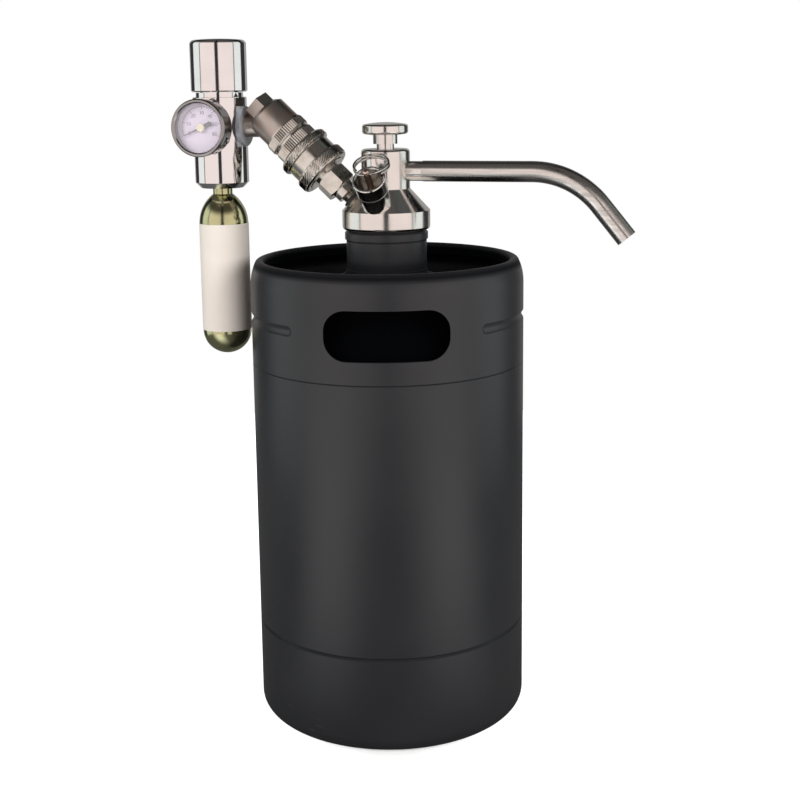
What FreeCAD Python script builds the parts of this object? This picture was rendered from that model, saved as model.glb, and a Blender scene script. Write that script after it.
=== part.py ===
"""Mini keg with a screw-on tap, a relief valve and a cartridge gas regulator.

Millimetres, +Z up, origin at the centre of the circle that the keg stands on.
The handles are at the front (-Y) and at the back. The tap, coupler and regulator
lie in one upright plane, which is turned about Z by tap_turn.
"""
import FreeCAD, Part
import math
import operator
import os
import Sketcher

Vector = FreeCAD.Vector
Placement = FreeCAD.Placement
Rotation = FreeCAD.Rotation

document = FreeCAD.newDocument("MiniKeg")
sheet = document.addObject("Spreadsheet::Sheet", "Sizes")
pieces = {}
rows = []


# Sizes that know both their value and their formula in the sheet


class Size:
    """A length or an angle: its value, and the sheet formula that gives it."""

    def __init__(self, value, formula):
        self.value = value
        self.formula = formula

    def __float__(self):
        return self.value

    def __add__(self, other):
        return joined(self, "+", other, operator.add)

    def __radd__(self, other):
        return joined(other, "+", self, operator.add)

    def __sub__(self, other):
        return joined(self, "-", other, operator.sub)

    def __rsub__(self, other):
        return joined(other, "-", self, operator.sub)

    def __mul__(self, other):
        return joined(self, "*", other, operator.mul)

    def __rmul__(self, other):
        return joined(other, "*", self, operator.mul)

    def __truediv__(self, other):
        return joined(self, "/", other, operator.truediv)

    def __neg__(self):
        return joined(0.0, "-", self, operator.sub)


def as_size(number):
    """Turn a plain number into a Size that has no cell."""
    if isinstance(number, Size):
        return number
    text = repr(float(number))
    return Size(float(number), text if number >= 0 else "(" + text + ")")


def joined(left, sign, right, work):
    """Combine two sizes into one, in value and in formula."""
    left = as_size(left)
    right = as_size(right)
    formula = "(" + left.formula + " " + sign + " " + right.formula + ")"
    return Size(work(left.value, right.value), formula)


def size(alias, number):
    """Put one driving dimension into the sheet."""
    rows.append(alias)
    cell = "B" + str(len(rows))
    sheet.set("A" + str(len(rows)), alias)
    sheet.set(cell, str(number))
    sheet.setAlias(cell, alias)
    return Size(float(number), "Sizes." + alias)


# Sketches, turned pieces, rods, nuts, and cuts and joins between them


def minor_arc(start, end, radius):
    """The short arc between two sketch points; a positive radius bulges to the right."""
    chord = end - start
    rise = math.sqrt(max(radius * radius - chord.Length ** 2 / 4, 0.0))
    side = Vector(-chord.y, chord.x, 0).normalize() * math.copysign(rise, radius)
    centre = start + chord / 2 + side
    first = start if radius > 0 else end
    last = end if radius > 0 else start
    circle = Part.Circle(centre, Vector(0, 0, 1), abs(radius))
    return Part.ArcOfCircle(circle, circle.parameter(first), circle.parameter(last))


def crown(half, rise):
    """The radius of a domed end that is centred on the axis."""
    return (half * half + rise * rise) / (rise * 2)


def draw(body, name, role, corners):
    """Draw a closed outline on an origin plane; (x, y) is a corner, (x, y, r) starts an arc."""
    plane = [item for item in body.Origin.OriginFeatures if item.Role == role][0]
    sketch = body.newObject("Sketcher::SketchObject", name)
    sketch.AttachmentSupport = (plane, [""])
    sketch.MapMode = "FlatFace"
    points = [Vector(float(corner[0]), float(corner[1]), 0) for corner in corners]
    edges = []
    limits = []
    formulas = []
    for index, corner in enumerate(corners):
        start = points[index]
        end = points[(index + 1) % len(points)]
        turns_left = len(corner) < 3 or float(corner[2]) > 0
        if len(corner) < 3:
            edge = sketch.addGeometry(Part.LineSegment(start, end), False)
        else:
            edge = sketch.addGeometry(minor_arc(start, end, float(corner[2])), False)
            radius = as_size(corner[2])
            radius = radius if turns_left else -radius
            formulas.append((len(limits), radius))
            limits.append(Sketcher.Constraint("Radius", edge, radius.value))
        edges.append((edge, 1, 2) if turns_left else (edge, 2, 1))
    for index, corner in enumerate(corners):
        edge, head, tail = edges[index]
        after, after_head, _ = edges[(index + 1) % len(edges)]
        limits.append(Sketcher.Constraint("Coincident", edge, tail, after, after_head))
        for kind, axis, place in (("DistanceX", -2, corner[0]), ("DistanceY", -1, corner[1])):
            place = as_size(place)
            if place.formula == "0.0":
                limits.append(Sketcher.Constraint("PointOnObject", edge, head, axis))
            else:
                formulas.append((len(limits), place))
                limits.append(Sketcher.Constraint(kind, -1, 1, edge, head, place.value))
    sketch.addConstraint(limits)
    for index, place in formulas:
        if "Sizes" in place.formula:
            sketch.setExpression("Constraints[" + str(index) + "]", place.formula)
    return sketch


def turned(name, corners):
    """A piece turned on a lathe: an outline of radius and height, revolved about Z."""
    body = document.addObject("PartDesign::Body", name)
    sketch = draw(body, name + "_outline", "XZ_Plane", corners)
    turn = body.newObject("PartDesign::Revolution", name + "_turning")
    turn.Profile = sketch
    turn.ReferenceAxis = (sketch, ["V_Axis"])
    turn.Angle = 360.0
    body.Tip = turn
    return body


def ring(name, inner, outer, low, high):
    """A plain turned ring or tube."""
    return turned(name, [(inner, low), (outer, low), (outer, high), (inner, high)])


def pressed(name, corners, low, thick):
    """A flat piece: an outline in X and Y, padded up along Z from the height low."""
    body = document.addObject("PartDesign::Body", name)
    sketch = draw(body, name + "_outline", "XY_Plane", corners)
    low = as_size(low)
    sketch.AttachmentOffset = Placement(Vector(0, 0, low.value), Rotation())
    if "Sizes" in low.formula:
        sketch.setExpression("AttachmentOffset.Base.z", low.formula)
    pad = body.newObject("PartDesign::Pad", name + "_pad")
    pad.Profile = sketch
    pad.Length = float(thick)
    pad.setExpression("Length", as_size(thick).formula)
    body.Tip = pad
    return body


def rod(name, radius, low, high, frame=None, seat=None):
    """A plain cylinder along Z from low to high, then moved into frame from seat."""
    cylinder = document.addObject("Part::Cylinder", name)
    cylinder.setExpression("Radius", as_size(radius).formula)
    cylinder.setExpression("Height", (high - as_size(low)).formula)
    here = Placement(Vector(0, 0, float(low)), Rotation())
    if frame is not None:
        here = seat.inverse() * frame * here
    cylinder.Placement = here
    return cylinder


def nut(name, flats, low, high):
    """A hexagon along Z, with its size given across the flats."""
    prism = document.addObject("Part::Prism", name)
    prism.Polygon = 6
    prism.setExpression("Circumradius", (flats / math.sqrt(3.0)).formula)
    prism.setExpression("Height", (high - as_size(low)).formula)
    prism.Placement = Placement(Vector(0, 0, float(low)), Rotation())
    return prism


def torus(name, middle, thick, height, sweep=360.0):
    """A round ring with its centre line at the radius middle."""
    loop = document.addObject("Part::Torus", name)
    loop.setExpression("Radius1", as_size(middle).formula)
    loop.setExpression("Radius2", as_size(thick).formula)
    loop.Angle3 = sweep
    loop.Placement = Placement(Vector(0, 0, float(height)), Rotation())
    return loop


def fused(name, shapes):
    """Several solids made into one."""
    result = document.addObject("Part::MultiFuse", name)
    result.Shapes = shapes
    result.Refine = True
    return result


def cut(name, base, tools):
    """A solid with one or more others cut from it."""
    result = document.addObject("Part::Cut", name)
    result.Base = base
    result.Tool = tools[0] if len(tools) == 1 else fused(name + "_tools", tools)
    result.Refine = True
    return result


def keep(node, shape, frame):
    """Register a finished piece under its node name, at its place in the object."""
    shape.Label = node
    shape.Placement = frame * shape.Placement
    pieces[node] = shape


# Wound wire: a chain of tangent arcs, a quarter turn each, with the section swept along it


def arc_between(start, heading, end):
    """The arc that leaves start along heading and reaches end."""
    chord = end - start
    normal = heading.cross(chord)
    if normal.Length < 1e-9:
        return Part.LineSegment(start, end)
    inward = normal.cross(heading).normalize()
    radius = chord.Length ** 2 / (2 * chord.dot(inward))
    centre = start + inward * radius
    middle = centre + (chord / 2 + start - centre).normalize() * radius
    return Part.Arc(start, middle, end)


def biarc(start, heading, end, leaving):
    """Two arcs that join two points and take both headings."""
    chord = end - start
    both = heading + leaving
    spread = 2 * (1 - heading.dot(leaving))
    along = chord.dot(both)
    reach = (math.sqrt(along ** 2 + spread * chord.dot(chord)) - along) / spread
    joint = (start + heading * reach + end - leaving * reach) / 2
    first = arc_between(start, heading, joint)
    back = arc_between(end, leaving * -1, joint)
    second = Part.Arc(joint, back.value((back.FirstParameter + back.LastParameter) / 2), end)
    return [first.toShape(), second.toShape()]


def wound(name, middle, wire, low, high, turns, ends=0.0):
    """A coil from low to high: flat end turns, then a steady climb between them."""
    middle, wire, low, high = (float(item) for item in (middle, wire, low, high))
    steps = 4
    climbing = turns - 2 * ends
    rise = (high - low - 2 * wire) / climbing
    count = int(round(turns * steps))

    def height(turn):
        return low + wire + rise * min(max(turn - ends, 0.0), climbing)

    def place(turn):
        angle = 2 * math.pi * turn
        return Vector(middle * math.cos(angle), middle * math.sin(angle), height(turn))

    def heading(turn):
        angle = 2 * math.pi * turn
        slope = rise / (2 * math.pi) if ends < turn < turns - ends else 0.0
        return Vector(-middle * math.sin(angle), middle * math.cos(angle), slope).normalize()

    edges = []
    for step in range(count):
        here = step / steps
        after = (step + 1) / steps
        edges += biarc(place(here), heading(here), place(after), heading(after))
    path = Part.Wire(edges)
    section = Part.Wire(Part.Circle(place(0.0), heading(0.0), wire).toShape())
    shell = Part.BRepOffsetAPI.MakePipeShell(path)
    shell.add(section)
    shell.build()
    shell.makeSolid()
    coil = document.addObject("Part::Feature", name)
    coil.Shape = shell.shape()
    gap = rise - 2 * wire
    samples = [place(turn / 24.0) for turn in range(int(turns * 24) + 1)]
    for one, point in enumerate(samples):
        for other in samples[one + 12:]:
            gap = min(gap, (point - other).Length - 2 * wire)
    print(name, "least gap between turns", round(gap, 3))
    return coil


# Driving dimensions: the keg

keg_radius = size("keg_radius", 60.0)
skirt_height = size("skirt_height", 42.4)
tank_height = size("tank_height", 117.2)
collar_height = size("collar_height", 45.1)
sheet_wall = size("sheet_wall", 1.5)
tank_wall = size("tank_wall", 1.6)
seam_bevel = size("seam_bevel", 0.8)
seam_line = size("seam_line", 0.3)
foot_round = size("foot_round", 6.0)
foot_lip = size("foot_lip", 4.0)
rim_drop = size("rim_drop", 10.7)
rim_shoulder = size("rim_shoulder", 2.1)
rim_round = size("rim_round", 22.0)
rim_curl = size("rim_curl", 2.2)
rim_lip = size("rim_lip", 5.0)
handle_width = size("handle_width", 51.5)
handle_height = size("handle_height", 21.0)
handle_top = size("handle_top", 14.4)
handle_corner = size("handle_corner", 9.0)
bead_depth = size("bead_depth", 0.9)
bead_width = size("bead_width", 4.4)
bead_span = size("bead_span", 94.0)
tank_floor = size("tank_floor", 8.0)
dish_rise = size("dish_rise", 9.0)
knuckle_rise = size("knuckle_rise", 17.0)
knuckle_inset = size("knuckle_inset", 12.0)
knuckle_radius = size("knuckle_radius", 17.0)
loose = size("loose_fit", 0.05)
running = size("running_fit", 0.06)
shoulder_radius = size("shoulder_radius", 62.0)
neck_seat = size("neck_seat", 197.5)
neck_radius = size("neck_radius", 17.65)
neck_bore = size("neck_bore", 14.0)
neck_length = size("neck_length", 19.0)
neck_ring_radius = size("neck_ring_radius", 18.25)
neck_ring_height = size("neck_ring_height", 3.9)
weld_step = size("weld_step", 0.9)
weld_reach = size("weld_reach", 0.45)
spigot_radius = size("spigot_radius", 16.0)
spigot_height = size("spigot_height", 6.0)

# Driving dimensions: the cap with its column, spout, button and dip tube

tap_turn = size("tap_turn", 15.5)
cap_gap = size("cap_gap", 0.5)
cap_radius = size("cap_radius", 19.25)
cap_skirt = size("cap_skirt", 8.3)
cap_edge = size("cap_edge", 1.5)
cone_height = size("cone_height", 9.4)
column_radius = size("column_radius", 10.6)
column_height = size("column_height", 17.2)
column_edge = size("column_edge", 1.5)
thread_gap = size("thread_gap", 0.1)
gasket_thick = size("gasket_thick", 1.6)
gasket_width = size("gasket_width", 2.1)
chamber_radius = size("chamber_radius", 6.4)
chamber_height = size("chamber_height", 14.3)
lip_radius = size("lip_radius", 3.4)
lip_height = size("lip_height", 1.0)
annulus_radius = size("annulus_radius", 4.8)
annulus_height = size("annulus_height", 6.2)
stem_radius = size("stem_radius", 3.8)
stem_waist = size("stem_waist", 2.9)
stem_bare = size("stem_bare", 2.1)
poppet_radius = size("poppet_radius", 5.7)
poppet_thick = size("poppet_thick", 2.0)
seal_thick = size("seal_thick", 1.0)
seal_radius = size("seal_radius", 5.4)
groove_width = size("groove_width", 1.4)
groove_depth = size("groove_depth", 1.05)
button_neck = size("button_neck", 5.3)
button_neck_height = size("button_neck_height", 4.0)
button_radius = size("button_radius", 10.0)
button_height = size("button_height", 5.3)
button_edge = size("button_edge", 1.2)
button_crown = size("button_crown", 0.8)
screw_radius = size("screw_radius", 2.4)
screw_depth = size("screw_depth", 5.2)
bushing_height = size("bushing_height", 7.0)
bushing_step = size("bushing_step", 2.0)
dip_radius = size("dip_radius", 3.5)
dip_wall = size("dip_wall", 0.7)
dip_clearance = size("dip_clearance", 3.0)
valve_wire = size("valve_wire", 0.45)
valve_coil = size("valve_coil", 4.9)
spout_drop = size("spout_drop", 9.6)
spout_boss_radius = size("spout_boss_radius", 4.3)
spout_boss_reach = size("spout_boss_reach", 16.9)
spout_radius = size("spout_radius", 4.5)
spout_wall = size("spout_wall", 0.8)
spout_straight = size("spout_straight", 47.6)
spout_bend = size("spout_bend", 37.0)
spout_angle = size("spout_angle", 51.0)
spout_tail = size("spout_tail", 18.0)
spigot_inset = size("spout_spigot_radius", 3.2)
spigot_reach = size("spout_spigot_reach", 4.6)

# Driving dimensions: the two ports on the cone, the relief valve and the gas plug

port_tilt = size("port_tilt", 47.0)
port_bore = size("port_bore", 1.2)
relief_boss_radius = size("relief_boss_radius", 6.55)
relief_boss_height = size("relief_boss_height", 8.0)
relief_body_radius = size("relief_body_radius", 6.8)
relief_flare = size("relief_flare", 0.3)
relief_height = size("relief_height", 7.5)
relief_cup = size("relief_cup", 6.2)
relief_thread = size("relief_thread", 4.6)
relief_thread_reach = size("relief_thread_reach", 6.5)
relief_pin = size("relief_pin", 1.4)
relief_eye_radius = size("relief_eye_radius", 0.9)
relief_eye = size("relief_eye", 18.2)
relief_tip = size("relief_tip", 2.9)
relief_wire = size("relief_wire", 0.35)
ring_middle = size("ring_middle", 7.4)
ring_wire = size("ring_wire", 0.5)
ring_pitch = size("ring_pitch", 1.42)
ring_tilt = size("ring_tilt", 18.5)
plug_stub = size("plug_stub", 3.2)
plug_depth = size("plug_depth", 4.0)
plug_thread = size("plug_thread", 3.2)
plug_collar = size("plug_collar", 5.0)
plug_collar_height = size("plug_collar_height", 3.6)
plug_flats = size("plug_flats", 13.5)
plug_flats_height = size("plug_flats_height", 8.2)
nose_radius = size("nose_radius", 5.95)
nose_end_gap = size("nose_end_gap", 0.5)
nose_bore = size("nose_bore", 1.5)

# Driving dimensions: the quick coupler

coupler_gap = size("coupler_gap", 1.2)
coupler_radius = size("coupler_radius", 9.5)
ball_radius = size("ball_radius", 1.9)
ball_place = size("ball_place", 3.4)
ball_depth = size("ball_depth", 0.25)
ring_groove = size("ring_groove", 0.8)
ring_groove_depth = size("ring_groove_depth", 0.5)
clip_reach = size("clip_reach", 0.65)
sleeve_slack = size("sleeve_slack", 0.1)
sleeve_radius = size("sleeve_radius", 12.2)
sleeve_waist = size("sleeve_waist", 11.2)
sleeve_length = size("sleeve_length", 16.0)
sleeve_chamber = size("sleeve_chamber", 10.65)
sleeve_chamber_length = size("sleeve_chamber_length", 7.5)
front_band = size("front_band", 4.6)
rear_band = size("rear_band", 3.3)
sleeve_wire = size("sleeve_wire", 0.4)
nose_depth = size("nose_depth", 13.8)
valve_chamber = size("valve_chamber", 5.0)
rear_radius = size("rear_radius", 9.65)
rear_length = size("rear_length", 5.2)
rear_gap = size("rear_gap", 0.9)
collar_ring_radius = size("collar_ring_radius", 9.85)
collar_ring_length = size("collar_ring_length", 4.9)
collar_ring_bore = size("collar_ring_bore", 7.0)
elbow_radius = size("elbow_radius", 9.4)
elbow_length = size("elbow_length", 12.0)
elbow_bevel = size("elbow_bevel", 1.6)
elbow_flats = size("elbow_flats", 12.0)
elbow_flats_height = size("elbow_flats_height", 5.4)
elbow_reach = size("elbow_reach", 3.1)
elbow_spigot = size("elbow_spigot", 3.0)
gas_bore = size("gas_bore", 1.8)
check_radius = size("check_radius", 4.2)
check_thick = size("check_thick", 1.8)
check_wire = size("check_wire", 0.3)
nipple_radius = size("nipple_radius", 4.85)
nipple_inner_end = size("nipple_inner_end", 3.2)
nipple_thread = size("nipple_thread", 4.8)

# Driving dimensions: the regulator, its knob, the gauge and the cartridge

body_radius = size("body_radius", 12.0)
body_below = size("body_below", 27.3)
body_above = size("body_above", 12.9)
body_bevel = size("body_bevel", 2.5)
boss_radius = size("boss_radius", 8.75)
boss_face = size("boss_face", 12.6)
socket_radius = size("socket_radius", 4.8)
socket_depth = size("socket_depth", 14.7)
seat_radius = size("seat_radius", 4.5)
piston_radius = size("piston_radius", 6.94)
piston_thick = size("piston_thick", 2.8)
piston_low = size("piston_low", 3.2)
piston_floor = size("piston_floor", 2.5)
piston_stem = size("piston_stem", 0.9)
bonnet_thread = size("bonnet_thread", 9.3)
bonnet_bottom = size("bonnet_bottom", 6.5)
bonnet_flange = size("bonnet_flange", 10.5)
bonnet_flange_height = size("bonnet_flange_height", 2.0)
bonnet_radius = size("bonnet_radius", 8.5)
bonnet_bore = size("bonnet_bore", 7.0)
bonnet_top = size("bonnet_top", 31.0)
bonnet_roof = size("bonnet_roof", 1.5)
screw_shank = size("screw_shank", 2.5)
screw_low = size("screw_low", 17.0)
screw_collar = size("screw_collar", 4.5)
plate_low = size("plate_low", 22.0)
plate_thick = size("plate_thick", 3.0)
range_coil = size("range_coil", 4.9)
range_wire = size("range_wire", 0.6)
knob_radius = size("knob_radius", 12.5)
knob_gap = size("knob_gap", 0.25)
knob_top = size("knob_top", 38.4)
knob_edge = size("knob_edge", 2.0)
knob_crown = size("knob_crown", 0.5)
knob_bevel = size("knob_bevel", 0.6)
knob_cavity = size("knob_cavity", 9.0)
seat_high = size("seat_high", 4.0)
seat_thick = size("seat_thick", 2.3)
needle_valve = size("needle_valve", 2.2)
pin_radius = size("pin_radius", 0.8)
pin_length = size("pin_length", 4.0)
pin_flange = size("pin_flange", 1.1)
washer_thick = size("washer_thick", 1.5)
gauge_stem_radius = size("gauge_stem_radius", 4.0)
gauge_back = size("gauge_back", 14.7)
gauge_front = size("gauge_front", 25.6)
gauge_radius = size("gauge_radius", 12.1)
gauge_wall = size("gauge_wall", 0.8)
bezel_radius = size("bezel_radius", 12.5)
bezel_length = size("bezel_length", 3.2)
bezel_inner = size("bezel_inner", 10.7)
bezel_lip = size("bezel_lip", 0.7)
lens_thick = size("lens_thick", 0.9)
dial_thick = size("dial_thick", 0.4)
dial_depth = size("dial_depth", 4.9)
arbor_radius = size("arbor_radius", 0.45)
needle_zero = size("needle_zero", 202.5)
needle_length = size("needle_length", 8.9)
needle_tail = size("needle_tail", 4.7)
needle_width = size("needle_width", 0.7)
needle_tail_width = size("needle_tail_width", 1.9)
needle_thick = size("needle_thick", 0.3)
hub_radius = size("hub_radius", 1.85)
movement_radius = size("movement_radius", 4.2)
bourdon_middle = size("bourdon_middle", 7.6)
bourdon_sweep = size("bourdon_sweep", 255.0)
bourdon_tube = size("bourdon_tube_radius", 1.1)
cartridge_radius = size("cartridge_radius", 11.0)
cartridge_gap = size("cartridge_gap", 5.7)
cartridge_length = size("cartridge_length", 89.0)
cartridge_wall = size("cartridge_wall", 1.5)
cartridge_thread = size("cartridge_thread", 4.7)
cartridge_thread_length = size("cartridge_thread_length", 10.0)
cartridge_neck = size("cartridge_neck", 4.35)
cartridge_shoulder = size("cartridge_shoulder", 13.2)
cartridge_dome = size("cartridge_dome", 16.5)
cartridge_base = size("cartridge_base", 10.2)
label_thick = size("label_thick", 0.15)
label_bottom = size("label_bottom", 11.4)

# Heights up the keg and the tap, worked out from those

seam_height = skirt_height + tank_height
rim_height = seam_height + collar_height
neck_top = neck_seat + neck_length
spigot_top = neck_top + spigot_height
cap_bottom = neck_top + cap_gap
cone_bottom = cap_bottom + cap_skirt
cone_top = cone_bottom + cone_height
column_top = cone_top + column_height
cap_ceiling = spigot_top + gasket_thick
valve_seat = cap_ceiling + chamber_height
port_distance = (cap_radius + column_radius) / 2
port_height = (cone_bottom + cone_top) / 2
spout_height = column_top - spout_drop

# Distances along the gas port from the cone, up through the plug, coupler and elbow

plug_hex_low = plug_thread + plug_collar_height
plug_hex_top = plug_hex_low + plug_flats_height
coupler_start = plug_hex_top + coupler_gap
nose_stop = coupler_start + nose_depth
sleeve_front = coupler_start + 0.3
sleeve_back = sleeve_front + sleeve_length
stop_high = sleeve_back - 1.3
rear_low = stop_high + 1.1
rear_high = rear_low + rear_length
tail_low = rear_high + rear_gap
elbow_low = tail_low + collar_ring_length + 0.2
elbow_axis = elbow_low + elbow_reach
tilt = math.radians(float(port_tilt))
outlet_height = float(port_height) + float(elbow_axis) * math.cos(tilt)
outlet_distance = port_distance + elbow_axis * Size(
    math.sin(tilt), "sin(Sizes.port_tilt * 1 deg)")
outlet_reach = keg_radius + cartridge_gap + cartridge_radius - outlet_distance

# Frames: each group of pieces is modelled along its own Z and placed by one of these

keg = Placement()
tap = Placement(Vector(), Rotation(Vector(0, 0, 1), -float(tap_turn)))
gas_port = tap * Placement(
    Vector(-float(port_distance), 0, float(port_height)),
    Rotation(Vector(0, 1, 0), -float(port_tilt)))
relief_port = tap * Placement(
    Vector(0, -float(port_distance), float(port_height)),
    Rotation(Vector(1, 0, 0), float(port_tilt)))
spout_port = tap * Placement(
    Vector(0, 0, float(spout_height)), Rotation(Vector(0, 1, 0), 90))
elbow = tap * Placement(
    Vector(-float(outlet_distance), 0, outlet_height), Rotation(Vector(0, 1, 0), -90))
regulator = tap * Placement(
    Vector(-float(outlet_distance + outlet_reach), 0, outlet_height), Rotation())
outlet = regulator * Placement(Vector(), Rotation(Vector(0, 1, 0), 90))
gauge = regulator * Placement(Vector(), Rotation(Vector(1, 0, 0), 90))


# The keg: tank, skirt, collar and neck


def make_keg():
    inner_edge = keg_radius - sheet_wall
    tank_edge = inner_edge - loose
    dish_edge = tank_edge - knuckle_inset
    dish_top = tank_floor + dish_rise
    dish_radius = crown(dish_edge, dish_rise)
    knuckle_top = dish_top + knuckle_rise
    land = neck_ring_radius + weld_reach
    wall_inside = keg_radius - sheet_wall - tank_wall
    tank = turned("tank", [
        (0.0, tank_floor, dish_radius), (dish_edge, dish_top, knuckle_radius),
        (tank_edge, knuckle_top), (tank_edge, skirt_height),
        (keg_radius - seam_bevel, skirt_height), (keg_radius, skirt_height + seam_bevel),
        (keg_radius, seam_height - seam_line), (keg_radius - seam_line, seam_height),
        (tank_edge, seam_height, shoulder_radius), (land, neck_seat),
        (neck_bore, neck_seat), (neck_bore, neck_seat - tank_wall),
        (land, neck_seat - tank_wall * 1.3, -(shoulder_radius - tank_wall)),
        (wall_inside, seam_height - 1.0), (wall_inside, knuckle_top, -(knuckle_radius - tank_wall)),
        (dish_edge, dish_top + tank_wall, -dish_radius),
        (0.0, tank_floor + tank_wall)])
    keep("keg_tank", tank, keg)

    foot = foot_round
    skirt = turned("skirt", [
        (keg_radius - foot - foot_lip, 0.0), (keg_radius - foot, 0.0, foot), (keg_radius, foot),
        (keg_radius, skirt_height - seam_bevel), (keg_radius - seam_bevel, skirt_height),
        (inner_edge, skirt_height), (inner_edge, foot, -(foot - sheet_wall)),
        (inner_edge - foot + sheet_wall, sheet_wall),
        (keg_radius - foot - foot_lip, sheet_wall)])
    keep("base_skirt", skirt, keg)

    rim_inner = keg_radius - rim_shoulder - rim_curl * 1.9
    curl_wall = sheet_wall * 0.8
    collar = turned("collar_shell", [
        (inner_edge, seam_height), (keg_radius - seam_line, seam_height),
        (keg_radius, seam_height + seam_line), (keg_radius, rim_height - rim_drop, rim_round),
        (keg_radius - rim_shoulder, rim_height - rim_curl * 0.57, rim_curl),
        (rim_inner, rim_height - rim_curl), (rim_inner, rim_height - rim_lip),
        (rim_inner + curl_wall, rim_height - rim_lip),
        (rim_inner + curl_wall, rim_height - rim_curl - 0.3),
        (keg_radius - rim_shoulder - curl_wall, rim_height - rim_curl - 0.6),
        (inner_edge, rim_height - rim_drop)])
    half_wide = handle_width / 2
    low = rim_height - handle_top - handle_height
    high = rim_height - handle_top
    corner = handle_corner
    body = document.addObject("PartDesign::Body", "handle_cutter")
    opening = draw(body, "handle_opening", "XZ_Plane", [
        (corner - half_wide, low), (half_wide - corner, low, corner),
        (half_wide, low + corner), (half_wide, high - corner, corner),
        (half_wide - corner, high), (corner - half_wide, high, corner),
        (-half_wide, high - corner), (-half_wide, low + corner, corner)])
    pad = body.newObject("PartDesign::Pad", "handle_cutter_pad")
    pad.Profile = opening
    pad.Midplane = True
    pad.setExpression("Length", (keg_radius * 2 + 10.0).formula)
    body.Tip = pad
    beads = []
    middle = (low + high) / 2
    bead_tube = (bead_width * bead_width / 4 + bead_depth * bead_depth) / (bead_depth * 2)
    bead_middle = keg_radius + bead_tube - bead_depth
    for side in (0, 180):
        start = Placement(Vector(0, 0, middle.value),
                          Rotation(Vector(0, 0, 1), side - float(bead_span) / 2))
        bead = torus("bead_" + str(side), bead_middle, bead_tube, middle, float(bead_span))
        bead.Placement = start
        beads.append(bead)
        for end in (0.0, float(bead_span)):
            tip = document.addObject("Part::Sphere", "bead_end")
            tip.setExpression("Radius", bead_tube.formula)
            tip.Placement = start * Placement(Vector(), Rotation(Vector(0, 0, 1), end)) * Placement(
                Vector(bead_middle.value, 0, 0), Rotation())
            beads.append(tip)
    keep("top_collar", cut("top_collar", collar, [body] + beads), keg)

    weld = neck_ring_radius
    ring_low = neck_top - neck_ring_height
    neck = turned("neck", [
        (neck_bore, neck_seat), (weld, neck_seat), (weld, neck_seat + weld_step),
        (neck_radius + weld_reach * 0.6, neck_seat + weld_step * 1.3),
        (neck_radius + weld_reach * 0.6, neck_seat + weld_step * 2.2),
        (neck_radius, neck_seat + weld_step * 2.8), (neck_radius, ring_low - 0.5),
        (neck_radius - 0.4, ring_low - 0.3), (neck_radius - 0.4, ring_low),
        (neck_ring_radius - 0.3, ring_low), (neck_ring_radius, ring_low + 0.3),
        (neck_ring_radius, neck_top - 0.8), (neck_ring_radius - 0.8, neck_top),
        (spigot_radius, neck_top), (spigot_radius, spigot_top - 0.5),
        (spigot_radius - 0.5, spigot_top), (neck_bore, spigot_top)])
    keep("keg_neck", neck, keg)


# The cap: one turned body with a column, a spout boss and two tilted ports


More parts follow.
